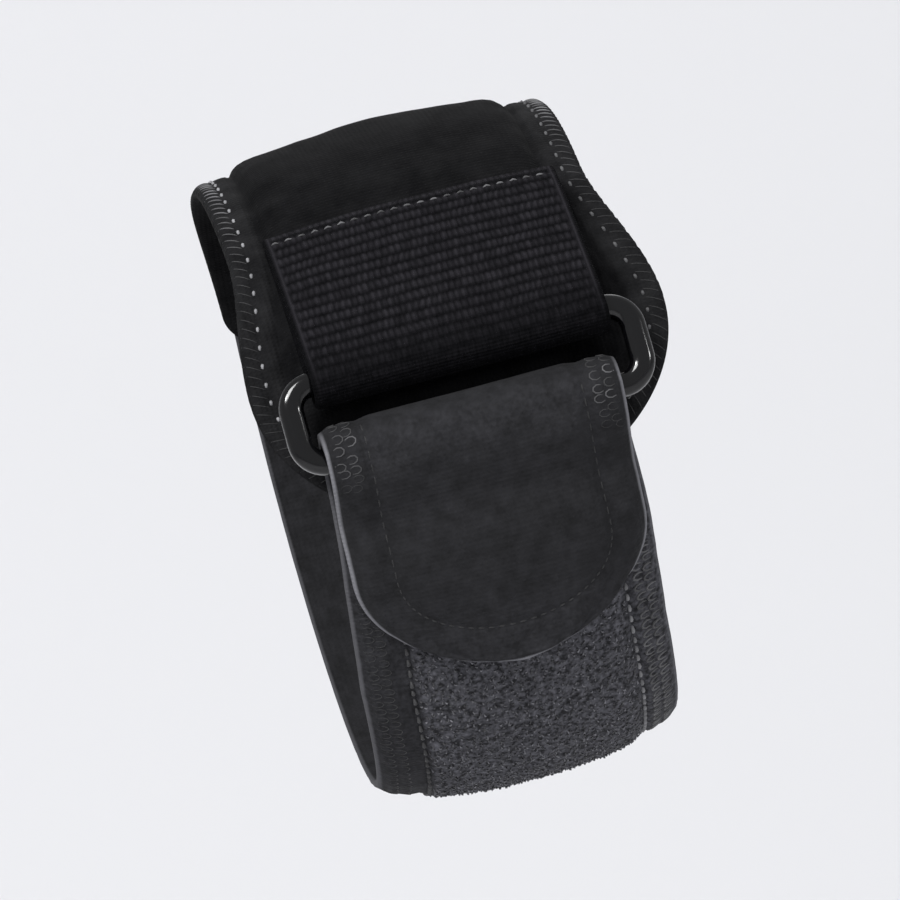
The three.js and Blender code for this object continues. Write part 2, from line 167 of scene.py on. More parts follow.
def pad_surface(along, x, inset, run):
    """Lift of the pad's outer face: a rounded edge, a flat margin with its stitch line pressed in, a groove
    at the seam, and the core that rises from it in a rounded step, with puckers that die away from it."""
    edge = PAD_EDGE * (0.45 + 0.55 * np.sqrt(1 - (1 - np.clip(inset / 1.1, 0, 1)) ** 2))
    rise = np.interp(inset, STEP_INSETS, STEP_SHARES)
    beat = 0.7 + 0.3 * np.cos(2 * np.pi * run / PAD_ROW_PITCH)
    row = 0.3 * beat * np.exp(-(((inset - PAD_ROW_INSET) / 0.6) ** 2))
    groove = 0.5 * np.exp(-(((inset - PAD_SEAM_INSET) / 0.6) ** 2))
    pucker = 0.22 * ripple(run, 0 * run, 6.5, 3) * np.exp(-np.abs(inset - PAD_SEAM_INSET - 1.5) / 2.6)
    uneven = 0.2 * ripple(along, x, 24, 5) * rise + 0.06 * ripple(along, x, 8, 6)
    core = rise * pad_core(np.interp(along, length_table, turn_table))
    return edge + core - row - groove + pucker + uneven - PAD_CROWN * (x / PAD_WAIST) ** 2


pad_lining = 0.5 * PAD_EDGE * (1 - np.sqrt(1 - (1 - np.clip(pad_inset / 1.1, 0, 1)) ** 2))
pad_lining = pad_lining - PAD_CROWN * (pad_x / PAD_WAIST) ** 2
pad_turn = pad_turns[:, None] + 0 * pad_x
pad_cover = cloth_mesh(
    "pad_cover",
    np.stack([pad_x, *off_forearm(pad_turn, pad_surface(pad_along, pad_x, pad_inset, pad_run))], axis=-1),
    np.stack([pad_x, *off_forearm(pad_turn, pad_lining)], axis=-1),
    {
        "along": (pad_along, pad_along),
        "across": (pad_x, pad_x),
        "margin": (1 - ease(5.0, 7.0, pad_inset), 0 * pad_inset),
    },
)
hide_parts("pad_body")


def linear(code):
    """Linear colour of an sRGB hex code: each channel to the power 2.4 after the offset, and alpha one."""
    channels = [int(code[i : i + 2], 16) / 255 for i in (1, 3, 5)]
    return [c / 12.92 if c < 0.04045 else ((c + 0.055) / 1.055) ** 2.4 for c in channels] + [1.0]


def add_node(tree, kind, inputs=None, **settings):
    """Adds a shader node: settings are its properties, inputs gives each socket a value or a link."""
    made = tree.nodes.new("ShaderNode" + kind)
    for key, value in settings.items():
        setattr(made, key, value)
    for key, value in (inputs or {}).items():
        if isinstance(value, bpy.types.NodeSocket):
            tree.links.new(value, made.inputs[key])
        else:
            made.inputs[key].default_value = value
    return made


def new_material(name, values):
    """Material with a Principled shader whose sockets are set to the given values."""
    material = bpy.data.materials.new(name)
    material.use_nodes = True
    shader = material.node_tree.nodes["Principled BSDF"]
    for key, value in values.items():
        shader.inputs[key].default_value = value
    return material, material.node_tree, shader


def two_tone(tree, share, dark, light, low=0.0, high=1.0):
    """Colour from dark to light as the share goes from low to high."""
    ramp = add_node(tree, "ValToRGB", {"Fac": share})
    ramp.color_ramp.elements[0].position, ramp.color_ramp.elements[1].position = low, high
    ramp.color_ramp.elements[0].color, ramp.color_ramp.elements[1].color = linear(dark), linear(light)
    return ramp.outputs["Color"]


def rows_of(tree, mark, pitch):
    """Height from 0 to 1 of even rows across a mark: half of one plus the sine of the mark times 2 pi over
    the pitch in millimetres."""
    value = add_node(tree, "Attribute", attribute_name=mark).outputs["Fac"]
    angle = add_node(tree, "Math", {0: value, 1: 2 * np.pi / pitch}, operation="MULTIPLY")
    wave = add_node(tree, "Math", {0: angle.outputs[0]}, operation="SINE")
    return add_node(tree, "Math", {0: wave.outputs[0], 1: 0.5, 2: 0.5}, operation="MULTIPLY_ADD").outputs[0]


# Stretch jersey laminated to foam: nylon knit in fine wales, matt black, with a faint bloom where light
# grazes it. The real loops are 0.4 mm apart, too fine to show, and are drawn at 0.8 mm. Handling mottles the
# cloth over about 5 mm, and its nap has a grain of 1 mm.
jersey, tree, shader = new_material(
    "nylon_jersey",
    {"Roughness": 0.9, "Sheen Weight": 0.008, "Sheen Roughness": 0.5, "Specular IOR Level": 0.04},
)
wales, courses = rows_of(tree, "across", 0.8), rows_of(tree, "along", 0.7)
loops = add_node(tree, "Math", {0: wales, 1: courses}, operation="MULTIPLY").outputs[0]
place = add_node(tree, "TexCoord").outputs["Object"]
blotch = {"Vector": place, "Scale": 1 / (4.76 * MM), "Detail": 5.0, "Roughness": 0.65}
mottle = add_node(tree, "TexNoise", blotch)
body_tone = two_tone(tree, mottle.outputs["Fac"], "#060607", "#101011", 0.34, 0.7)
margin_tone = two_tone(tree, mottle.outputs["Fac"], "#0e0e0f", "#1c1c1d", 0.34, 0.7)
margin_mark = add_node(tree, "Attribute", attribute_name="margin").outputs["Fac"]
mixed = add_node(tree, "MixRGB", {"Fac": margin_mark, "Color1": body_tone, "Color2": margin_tone})
tree.links.new(mixed.outputs["Color"], shader.inputs["Base Color"])
grain = add_node(tree, "TexNoise", {"Vector": place, "Scale": 1 / (1.11 * MM), "Detail": 3.0})
relief = add_node(tree, "Math", {0: grain.outputs["Fac"], 1: 1.4, 2: loops}, operation="MULTIPLY_ADD")
bump = add_node(tree, "Bump", {"Strength": 0.5, "Distance": 0.00018, "Height": relief.outputs[0]})
tree.links.new(bump.outputs["Normal"], shader.inputs["Normal"])
pad_cover.data.materials.append(jersey)

# Needle row and overlock round the pad's margin
# Spun polyester thread: pale needle stitches 3.5 mm apart on the margin, and darker looper strands that run
# from them to the edge and back, over the rim.
random = np.random.default_rng(20)


def beside(outline, inset, at):
    """Points inside an outline, at distances along it: its own points moved along its inward normal."""
    step = np.gradient(outline, axis=0)
    step = step / np.maximum(np.linalg.norm(step, axis=1, keepdims=True), 1e-9)
    pick = lambda column: np.interp(at, lengths(outline), column)
    along = pick(outline[:, 0]) + inset * pick(step[:, 1])
    across = pick(outline[:, 1]) - inset * pick(step[:, 0])
    return np.stack([along, across], axis=-1)


def threads(name, path, normals, radius, rise, tint, sides=5):
    """Stitches as short tubes, from grids of points and normals, stitches by steps by three: each is arched
    along its normals by the rise times the sine of its share of the way, and sunk and thinned at both ends
    where it enters the cloth."""
    count, steps = path.shape[:2]
    arch = np.sin(np.linspace(0, np.pi, steps))[:, None]
    radius = np.broadcast_to(radius, count)[:, None, None]
    middle = path + normals * ((rise + radius) * arch - radius)
    side = np.cross(np.gradient(path, axis=1), normals)
    side = side / np.linalg.norm(side, axis=-1, keepdims=True)
    spoke_angle = np.linspace(0, 2 * np.pi, sides, endpoint=False)[:, None]
    spoke = side[:, :, None, :] * np.cos(spoke_angle) + normals[:, :, None, :] * np.sin(spoke_angle)
    points = middle[:, :, None, :] + spoke * (radius * (0.55 + 0.45 * arch))[:, :, None, :]
    number = np.arange(count * steps * sides).reshape(count, steps, sides)
    turned = np.roll(number, -1, axis=2)
    quads = np.stack([number[:, :-1], number[:, 1:], turned[:, 1:], turned[:, :-1]], -1).reshape(-1, 4)
    caps = number[:, 0, :].tolist() + number[:, -1, ::-1].tolist()
    mesh = bpy.data.meshes.new(name)
    mesh.from_pydata(points.reshape(-1, 3) * MM, [], quads.tolist() + caps)
    mesh.attributes.new("tint", "FLOAT", "POINT").data.foreach_set("value", np.repeat(tint, steps * sides))
    mesh.shade_smooth()
    piece = bpy.data.objects.new(name, mesh)
    bpy.context.collection.objects.link(piece)
    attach(piece, "root")
    return piece


def on_pad(places):
    """Points on the pad's outer face at flat places, and the normals there."""
    along, x = places[..., 0], places[..., 1]
    turn = np.interp(along, length_table, turn_table)
    height = pad_surface(along, x, *from_outline(along, x, pad_outline))
    points = np.stack([x, *off_forearm(turn, height)], axis=-1)
    return points, np.stack([x, *off_forearm(turn, height + 1)], axis=-1) - points


# The needle row's thread shows palest on the wrist's side, and the overlock's strands are painted paler where
# the margin turns over the top of the arm: a painted highlight along that edge
at = np.arange(3, lengths(pad_outline)[-1] - 5, PAD_ROW_PITCH)[:, None] + 1.25 * np.linspace(0, 1, 5)
places = beside(pad_outline, PAD_ROW_INSET, at)
wrist_side = ease(5, -5, places[:, 0, 1])
row_tint = (0.2 + 0.5 * wrist_side) * random.uniform(0.7, 1.1, len(at))
pad_row = threads("pad_stitch_row", *on_pad(places), radius=0.29, rise=0.2, tint=row_tint)

share = np.linspace(0, 1, 7)
at = np.arange(3, lengths(pad_outline)[-1] - 5, PAD_ROW_PITCH / 2)[:, None] + 1.5 * share
places = beside(pad_outline, 0.3 + 2.8 * share, at)
over_top = np.exp(-(((places[:, 0, 0] - np.interp(75, turn_table, length_table)) / 18) ** 2))
# Painted highlight: the strands' tint rises over the top of the arm, on a random tone
strand_tint_and_highlight = (0.01 + 0.26 * over_top) * random.uniform(0.3, 1.2, len(at))
strand_radius = 0.08 + 0.08 * over_top
pad_overlock = threads("pad_overlock", *on_pad(places), radius=strand_radius, rise=0.05, tint=strand_tint_and_highlight)

# Spun polyester: a soft strand with a slight shine, from black to pale grey, whose twist is 0.4 mm long
sewing_thread, tree, shader = new_material(
    "spun_polyester", {"Roughness": 0.6, "Sheen Weight": 0.05, "Specular IOR Level": 0.3}
)
tint_mark = add_node(tree, "Attribute", attribute_name="tint").outputs["Fac"]
tree.links.new(two_tone(tree, tint_mark, "#151516", "#8d8d90"), shader.inputs["Base Color"])
place = add_node(tree, "TexCoord").outputs["Object"]
fibre = add_node(tree, "TexNoise", {"Vector": place, "Scale": 1 / (0.417 * MM), "Detail": 2.0})
bump = add_node(tree, "Bump", {"Strength": 0.4, "Distance": 0.0001, "Height": fibre.outputs["Fac"]})
tree.links.new(bump.outputs["Normal"], shader.inputs["Normal"])
pad_row.data.materials.append(sewing_thread)
pad_overlock.data.materials.append(sewing_thread)

# Plastic ring
# An injection-moulded ring of black acetal, rounded all over and glossy, whose two long bars carry the
# elastic and the strap. Each fold is set as wide as the solid's, whose half turn has six steps.
RING_TURN, RING_OPENING, BAR_WIDTH, BAR_THICKNESS, BAR_BEVEL, RING_CORNER = 9.0, 8.8, 4.0, 3.6, 0.9, 6.0
ELASTIC_HALF, ELASTIC_DRIFT, ELASTIC_THICK = 24.25, 0.2, 1.8
RING_HALF = ELASTIC_HALF + ELASTIC_DRIFT + 1.6
BAR_SPACING = RING_OPENING + BAR_WIDTH
STRAP_AT_BAR, FOLD_STEPS = 4.4 * 0.64, 6
fold_radius = np.hypot(BAR_WIDTH / 2 - BAR_BEVEL, BAR_THICKNESS / 2 - BAR_BEVEL) + BAR_BEVEL + CLEARANCE
fold_radius = fold_radius / np.cos(np.pi / FOLD_STEPS / 2)
front_curve = OVAL_HEIGHT**2 / OVAL_DEPTH
ring_lift = PAD_EDGE + pad_core(RING_TURN) + CLEARANCE + STRAP_AT_BAR + fold_radius
ring_centre = np.array(off_forearm(RING_TURN, ring_lift))
ring_out = np.array(off_forearm(RING_TURN, ring_lift + 1)) - ring_centre
ring_up = np.array([ring_out[1], -ring_out[0]])
lower_bar, upper_bar = ring_centre - ring_up * BAR_SPACING / 2, ring_centre + ring_up * BAR_SPACING / 2
bar_step = np.degrees(np.arctan(BAR_SPACING / 2 / (front_curve + ring_lift)))
bar_lift = np.hypot(front_curve + ring_lift, BAR_SPACING / 2) - front_curve


def rounded_path(half_x, half_y, radius, steps):
    """Closed path round a rectangle with round corners: points and outward directions, corner by corner."""
    angle = np.concatenate([np.linspace(q, q + 90, steps) for q in (0, 90, 180, 270)])
    corner = np.repeat([[1, 1], [-1, 1], [-1, -1], [1, -1]], steps, axis=0)
    heading = np.stack([np.cos(np.radians(angle)), np.sin(np.radians(angle))], axis=1)
    return corner * [half_x - radius, half_y - radius] + heading * radius, heading


path, heading = rounded_path(
    RING_HALF + BAR_WIDTH / 2, RING_OPENING / 2 + BAR_WIDTH / 2, RING_CORNER - BAR_WIDTH / 2, 18
)
section_angle = np.linspace(0, 2 * np.pi, 32, endpoint=False)
section_in = np.sign(np.cos(section_angle)) * np.abs(np.cos(section_angle)) ** 0.8 * BAR_WIDTH / 2
section_out = np.sign(np.sin(section_angle)) * np.abs(np.sin(section_angle)) ** 0.8 * BAR_THICKNESS / 2
flat = path[:, None, :] + heading[:, None, :] * section_in[None, :, None]
rise = section_out[None, :, None] + 0 * flat[..., :1]
ring_place = ring_centre + flat[..., 1:] * ring_up + rise * ring_out
ring_points = np.concatenate([flat[..., :1], ring_place], axis=-1)
number = np.arange(ring_points[..., 0].size).reshape(ring_points.shape[:2])
onward, around = np.roll(number, -1, axis=0), np.roll(number, -1, axis=1)
ring_faces = np.stack([number, onward, np.roll(onward, -1, axis=1), around], -1).reshape(-1, 4)
mesh = bpy.data.meshes.new("moulded_ring")
mesh.from_pydata(ring_points.reshape(-1, 3) * MM, [], ring_faces.tolist())
mesh.shade_smooth()
moulded_ring = bpy.data.objects.new("moulded_ring", mesh)
bpy.context.collection.objects.link(moulded_ring)
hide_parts("strap_ring")
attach(moulded_ring, "root")

# Black acetal, injection moulded in a polished tool: a clear highlight, whose edge is broken by fine scuffs
# in patches of 4 mm
acetal, tree, shader = new_material(
    "black_acetal", {"Base Color": linear("#050506"), "IOR": 1.36}
)
place = add_node(tree, "TexCoord").outputs["Object"]
worn = {"Vector": place, "Scale": 1 / (3.85 * MM), "Detail": 6.0, "Roughness": 0.7}
scuff = add_node(tree, "TexNoise", worn)
rough = add_node(tree, "MapRange", {"Value": scuff.outputs["Fac"], "To Min": 0.06, "To Max": 0.17})
tree.links.new(rough.outputs["Result"], shader.inputs["Roughness"])
bump = add_node(tree, "Bump", {"Strength": 0.06, "Distance": 0.0001, "Height": scuff.outputs["Fac"]})
tree.links.new(bump.outputs["Normal"], shader.inputs["Normal"])
moulded_ring.data.materials.append(acetal)

# Elastic panel
# Ribbed woven elastic: polyester warp and weft over covered rubber cords, 48 mm wide. One length is folded
# round the ring's upper bar, and both its ends are sewn to the pad.
SEAM_TURN, ELASTIC_CURL, RIB_PITCH, WARP_PITCH, RIB_HEIGHT, SEAM_INSET = 43.5, 1.2, 2.0, 1.0, 0.4, 2.2
bar_turn = RING_TURN + bar_step
seam_lift = PAD_EDGE + pad_core(SEAM_TURN) + CLEARANCE


def fold_round(bar, side, radius, angle):
    """Y and Z of a fold at an angle from the side that faces the forearm, round a bar: the bar plus the
    radius times minus the cosine outward and the sine up or down."""
    outward = -np.cos(angle)[:, None] * ring_out + side * np.sin(angle)[:, None] * ring_up
    return bar + outward * radius


flat_thick = ELASTIC_THICK - 0.3
inner_share, outer_share = np.linspace(0, 0.9, 28), np.linspace(0.94, -0.035, 60)
inner_turns = SEAM_TURN + (bar_turn - SEAM_TURN) * inner_share
bare = PAD_EDGE + pad_core(inner_turns) + CLEARANCE
settle = seam_lift + (bar_lift - fold_radius - flat_thick - seam_lift) * inner_share**2
inner_path = np.stack(off_forearm(inner_turns, np.maximum(bare, settle) + flat_thick / 2), axis=1)
fold_path = fold_round(upper_bar, -1, fold_radius + flat_thick / 2, np.linspace(0, np.pi, 26))
outer_turns = SEAM_TURN + (bar_turn - SEAM_TURN) * outer_share
top_lift = seam_lift + flat_thick + CLEARANCE - ease(0.05, -0.035, outer_share) * 0.9
to_bar = np.clip(outer_share, 0, 1) ** 1.6
outer_lift = top_lift + (bar_lift + fold_radius - top_lift) * to_bar + flat_thick / 2
outer_path = np.stack(off_forearm(outer_turns, outer_lift), axis=1)


def walk(points, spacing, soften, value):
    """Points of a path at the given spacing, softened by a bell-shaped mean, with its normals, which point
    where +X crossed with the way along it does, and a value that goes with it."""
    reach = lengths(points)
    fine = np.linspace(0, reach[-1], int(reach[-1] / 0.1))
    dense = np.stack([np.interp(fine, reach, points[:, i]) for i in (0, 1)], axis=1)
    width = int(soften / 0.1)
    weight = np.exp(-((np.arange(-3 * width, 3 * width + 1) / width) ** 2) / 2)
    before = 2 * dense[:1] - dense[3 * width : 0 : -1]
    beyond = 2 * dense[-1:] - dense[-2 : -3 * width - 2 : -1]
    longer = np.concatenate([before, dense, beyond])
    dense = np.stack([np.convolve(longer[:, i], weight / weight.sum(), "valid") for i in (0, 1)], axis=1)
    slope = np.gradient(dense, axis=0)
    slope = slope / np.linalg.norm(slope, axis=1, keepdims=True)
    at = np.concatenate(spacing(reach[-1]))
    pick = lambda column: np.interp(at, fine, column)
    where = np.stack([pick(dense[:, 0]), pick(dense[:, 1])], axis=1)
    normal = np.stack([-pick(slope[:, 1]), pick(slope[:, 0])], axis=1)
    return at, where, normal, np.interp(at, reach, value)


inner_length, fold_length = lengths(inner_path)[-1], lengths(fold_path)[-1]
at, where, normal, curl = walk(
    np.concatenate([inner_path, fold_path, outer_path]),
    lambda total: (np.arange(0, inner_length - 3, 1.3), np.arange(inner_length - 3, inner_length + 8, 0.5),
                   np.arange(inner_length + 8, total, 0.22), [total]),
    0.5,
    np.concatenate([1 - inner_share, np.zeros(26), 1 - outer_share]),
)
fold_end = inner_length + fold_length
elastic_across = np.linspace(-1, 1, 177)
x = ELASTIC_DRIFT + ELASTIC_HALF * elastic_across[None, :] + 0 * at[:, None]
along = at[:, None] + 0 * x
outer = ease(fold_end - 4, fold_end + 1, along)

# The weave: ribs across the band, each a row of floats of the warp, set half a float over from rib to rib,
# and every float a little higher or lower, lighter or darker than the next
rib_phase = (along - fold_end) / RIB_PITCH + 0.06 * ripple(along, x, 10, 11)
rib_number = np.floor(rib_phase + 0.5).astype(int)
rib = np.abs(np.cos(np.pi * rib_phase)) ** 1.2
float_phase = x / WARP_PITCH + 0.5 * (rib_number % 2) + 0.3 * ripple(along, x, 7, 13)
float_number = np.floor(float_phase + 0.5).astype(int)
warp = 0.5 + 0.5 * np.cos(2 * np.pi * float_phase)
chance = random.uniform(0, 1, (64, 96))
luck = chance[rib_number % 64, float_number % 96]
selvedge = 1 - ease(0.95, 0.98, np.abs(elastic_across))[None, :]
finer = 0.5 + 0.5 * ease(fold_end, fold_end + 9, along)
# Painted shade: the floats are painted darker towards the fold round the ring's upper bar, down to a tenth,
# where the bar shades the elastic
away = 0.1 + 0.9 * ease(fold_end - 2, fold_end + 11, along)
past_seam = ease(at[-1] - 3.2, at[-1] - 0.6, along)
float_height = (0.1 + 0.9 * rib) * (0.35 + 0.65 * warp) * (0.5 + 0.5 * luck)
relief = RIB_HEIGHT * (float_height - 0.4) * selvedge * outer * finer * (1 - 0.8 * past_seam)
sew = 0.3 * np.exp(-(((along - at[-1] + SEAM_INSET) / 0.5) ** 2))
edge_cord = 0.75 * np.exp(-(((np.abs(elastic_across) - 0.965) / 0.012) ** 2))[None, :]
lift_out = flat_thick / 2 + relief - sew + 0.12 * ripple(along, x, 20, 12) * outer
rim = np.sqrt(1 - ease(0.97, 1.0, np.abs(elastic_across)) ** 2)[None, :]
lift_out, under = lift_out * (0.5 + 0.5 * rim), -flat_thick / 2 * (0.5 + 0.5 * rim) + 0 * x
drop = ELASTIC_CURL * curl[:, None] * elastic_across[None, :] ** 2
seam_out = np.array(off_forearm(SEAM_TURN, 1.0)) - np.array(off_forearm(SEAM_TURN, 0.0))


def band_side(lift):
    """One side of the elastic: the path moved along its normal by the lift, and let down at its edges."""
    y = where[:, :1] + normal[:, :1] * lift - seam_out[0] * drop
    z = where[:, 1:] + normal[:, 1:] * lift - seam_out[1] * drop
    return np.stack([x, y, z], axis=-1)


elastic_band = cloth_mesh(
    "elastic_band",
    band_side(lift_out),
    band_side(under),
    {
        "along": (along, along),
        "across": (x, x),
        "float": (np.maximum(float_height * selvedge, edge_cord) * outer * away, 0 * rib),
    },
)
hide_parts("elastic_panel")

# Woven elastic: dull polyester yarn over covered rubber, nearly black between its ribs, with the floats of
# the warp as lighter dashes. The warp is 0.55 mm apart, drawn at 1 mm on the ribs, and its yarns differ in
# tone over 1.25 mm.
elastic, tree, shader = new_material(
    "woven_elastic", {"Roughness": 0.85, "Specular IOR Level": 0.03}
)
warp_row, weft_row = rows_of(tree, "across", 0.55), rows_of(tree, "along", 0.5)
# The float mark holds the floats' lighter tone and the painted shade near the ring's bar
float_and_shade_mark = add_node(tree, "Attribute", attribute_name="float").outputs["Fac"]
place = add_node(tree, "TexCoord").outputs["Object"]
uneven_yarn = {"Vector": place, "Scale": 1 / (1.25 * MM), "Detail": 3.0, "Roughness": 0.7}
speck = add_node(tree, "TexNoise", uneven_yarn)
glint = add_node(tree, "Math", {0: speck.outputs["Fac"], 1: 0.4, 2: float_and_shade_mark}, operation="MULTIPLY_ADD")
tree.links.new(two_tone(tree, glint.outputs[0], "#040405", "#1f1e21", 0.18, 1.1), shader.inputs["Base Color"])
weave = add_node(tree, "Math", {0: warp_row, 1: weft_row}, operation="ADD").outputs[0]
bump = add_node(tree, "Bump", {"Strength": 0.6, "Distance": 0.00012, "Height": weave})
tree.links.new(bump.outputs["Normal"], shader.inputs["Normal"])
elastic_band.data.materials.append(elastic)

# Seam that holds the elastic
# A lockstitch row in grey spun polyester across the end of the elastic, sewn through both of its layers and
# the pad.
row = int(np.argmin(np.abs(at - (at[-1] - SEAM_INSET))))
offset = np.arange(-ELASTIC_HALF + 1.0, ELASTIC_HALF - 2.2, 2.2)[:, None] + 1.5 * np.linspace(0, 1, 5)
lift = np.interp(offset, ELASTIC_HALF * elastic_across, lift_out[row])[..., None]
fall = np.interp(offset, ELASTIC_HALF * elastic_across, drop[row])[..., None]
spots = where[row] + normal[row] * lift - seam_out * fall
seam_path = np.concatenate([offset[..., None] + ELASTIC_DRIFT, spots], axis=-1)
seam_normals = np.array([0, *normal[row]]) + 0 * seam_path
seam_tint = random.uniform(0.05, 0.28, len(offset))
seam_row = threads("elastic_seam", seam_path, seam_normals, radius=0.2, rise=0.14, tint=seam_tint)
seam_row.data.materials.append(sewing_thread)

# Strap
# Loop-faced laminate, 51 mm wide: unbroken nylon loops on one face, smooth jersey on the other, foam between.
# It is sewn to the pad's back end, runs round the forearm and up through the ring, and is folded back over
# the lower bar, so that its free end, the tab, shows its smooth face.
STRAP_HALF, STRAP_THICK, STRAP_EDGE, STRAP_CURL, STRAP_DRIFT = 25.5, 4.4, 1.9, 2.1, 1.3
TAB_HALF, TAB_THICK, TAB_EDGE, TAB_DRIFT, TAB_END, TAB_ROUND = 24.2, 3.0, 1.7, -0.8, -36.5, 19.0
TAB_ROUNDNESS, FOLD_SWELL = 2.1, 1.1
HOOK_THICK, HOOK_INSET, HOOK_TURN = 0.9, 5.0, -10.0
STEP_TURN = 20.0
strap_start = PAD_END - np.degrees(14 / OVAL_HEIGHT)
lower_turn = 360 + RING_TURN - bar_step
strap_shares = [0, 0.06, 0.13, 0.28, 0.6, 0.8, 0.9, 0.95, 1]
strap_table = {
    "curl": [0.35, 0.35, 0.8, 1, 1, 0.9, 0.6, 0.3, 0],
    "thick": [0.75, 0.75, 1, 1, 1, 0.95, 0.85, 0.7, 0.64],
    "drift": [0, 0, 0, 0, 0, -1, -0.7, -0.4, 0],
    "narrow": [0, 0, 0, 0, 0, 0, 0.2, 0.6, 1],
}


def strap_value(turn, column):
    """A value of the strap's table at a turn, on straight lines between its rows."""
    return np.interp((turn - strap_start) / (lower_turn - strap_start), strap_shares, strap_table[column])


def strap_half(turn):
    """Half the strap's width, which goes to the tab's by the table's share."""
    return STRAP_HALF + (TAB_HALF - STRAP_HALF) * strap_value(turn, "narrow")


def strap_middle(turn):
    """Sideways place of the strap's middle, which goes from its own drift to the tab's by the same share."""
    drift, narrow = STRAP_DRIFT * strap_value(turn, "drift"), strap_value(turn, "narrow")
    return drift + (TAB_DRIFT - drift) * narrow


def strap_profile(across):
    """Shares of the core's and the edge's height across the strap, from its middle to its edge."""
    places = [0, 0.2, 0.4, 0.55, 0.66, 0.75, 0.81, 0.94, 1]
    core = np.interp(across, places, [1, 0.985, 0.92, 0.82, 0.72, 0.46, 0.42, 0.14, 0])
    edge = np.interp(across, places, [1, 1, 1, 1, 1, 0.9, 1, 1, 0.6])
    return core, edge


def pad_seat(turn):
    """Lift of what lies on the pad's middle: the pad's height there plus the clearance."""
    return PAD_EDGE + pad_core(np.clip(turn, PAD_FRONT, PAD_END)) + CLEARANCE


def strap_seat(turn):
    """Lift of the strap's underside along its middle: on the pad's back end, on the skin, and on the pad's
    front end, with an eased step at each."""
    back, front = turn - PAD_END, turn - 360 - PAD_FRONT
    on_back = pad_seat(np.minimum(turn, PAD_END)) * (1 - ease(1, STEP_TURN, back))
    on_front = pad_seat(PAD_FRONT) * ease(-STEP_TURN, -1, front)
    return np.maximum(on_back, np.where(front > -1, np.maximum(on_front, pad_seat(turn - 360)), on_front))


def strap_body(turn, across):
    """Height of the strap above its underside: its edge's height and its core's, by their shares."""
    core, edge = strap_profile(across)
    return strap_value(turn, "thick") * (edge * STRAP_EDGE + core * (STRAP_THICK - STRAP_EDGE))


def strap_face(turn, x):
    """Lift of the loop face at a turn and a place across."""
    across = np.clip(np.abs(x - strap_middle(turn)) / strap_half(turn), 0, 1)
    return strap_seat(turn) - STRAP_CURL * strap_value(turn, "curl") * across**2 + strap_body(turn, across)


run_turns = np.arange(strap_start, lower_turn - 2.7, 0.82)
fold_angles = np.linspace(0, np.pi, 26)
low_turn = lower_turn - 360
round_turn = TAB_END + TAB_ROUND
tab_turns = np.concatenate([
    np.arange(low_turn - 3.15, round_turn, -0.7),
    round_turn - TAB_ROUND * np.sin(np.radians(np.linspace(1, 88.9, 44))),
])
across = np.linspace(-1, 1, 121)[None, :]

# The run from the pad to the ring
turn = run_turns[:, None] + 0 * across
run_x = strap_middle(turn) + across * strap_half(turn)
run_under = strap_seat(turn) - STRAP_CURL * strap_value(turn, "curl") * across**2
run_over = run_under + strap_body(turn, np.abs(across))

# The tab, on the hook patch
tab_turn = tab_turns[:, None] + 0 * across
tab_width = (1 - np.clip((round_turn - tab_turn) / TAB_ROUND, 0, 1) ** TAB_ROUNDNESS) ** (1 / TAB_ROUNDNESS)
settled = ease(0, 1, (low_turn - tab_turn) / (low_turn - HOOK_TURN))
tab_x = TAB_DRIFT + across * tab_width * TAB_HALF
packed = CLEARANCE + (HOOK_THICK + CLEARANCE) * (1 - ease(0.88, 1, np.abs(across)))
resting = strap_face(tab_turn + 360, tab_x) + packed
tab_under = bar_lift + fold_radius + (resting - bar_lift - fold_radius) * settled
core, edge = strap_profile(np.abs(across))
tab_body = edge * TAB_EDGE + core * (TAB_THICK - TAB_EDGE)

# Both faces along the whole strap: the loop face first, then the smooth one
fold_share = (fold_angles / np.pi)[:, None]
fold_body = strap_body(lower_turn + 0 * fold_share, np.abs(across)) * (1 - fold_share) + tab_body * fold_share
fold_body = fold_body + FOLD_SWELL * np.sin(fold_angles)[:, None] * across**2
fold_out = -np.cos(fold_angles)[:, None] * ring_out + np.sin(fold_angles)[:, None] * ring_up
near = (lower_bar + fold_out * fold_radius)[:, None, :] + 0 * fold_body[..., None]
far = lower_bar + fold_out[:, None, :] * (fold_radius + fold_body)[..., None]
strap_x = np.concatenate([run_x, TAB_DRIFT + across * TAB_HALF + 0 * fold_body, tab_x])
loop_side = np.concatenate([
    np.stack(off_forearm(turn, run_over), -1), near, np.stack(off_forearm(tab_turn, tab_under), -1)
])
smooth_side = np.concatenate([
    np.stack(off_forearm(turn, run_under), -1), far, np.stack(off_forearm(tab_turn, tab_under + tab_body), -1)
])
strap_length = lengths((loop_side[:, 60] + smooth_side[:, 60]) / 2)
fold_from, fold_to = strap_length[len(run_turns)], strap_length[len(run_turns) + 25]
strap_along = strap_length[:, None] + 0 * strap_x


def evenly(line, step):
    """The same line with evenly spaced points."""
    reach = lengths(line)
    at = np.linspace(0, reach[-1], int(reach[-1] / step))
    return np.stack([np.interp(at, reach, line[:, 0]), np.interp(at, reach, line[:, 1])], axis=1)


strap_left = np.stack([strap_length, strap_x[:, 0]], axis=1)
strap_right = np.stack([strap_length, strap_x[:, -1]], axis=1)
strap_start_line = np.linspace(strap_left[0], strap_right[0], 100)
strap_round = np.concatenate([strap_left[::-1], strap_start_line, strap_right, strap_left[-1:]])
strap_outline = evenly(strap_round, 0.4)
strap_inset, strap_run = from_outline(strap_along, strap_x, strap_outline)

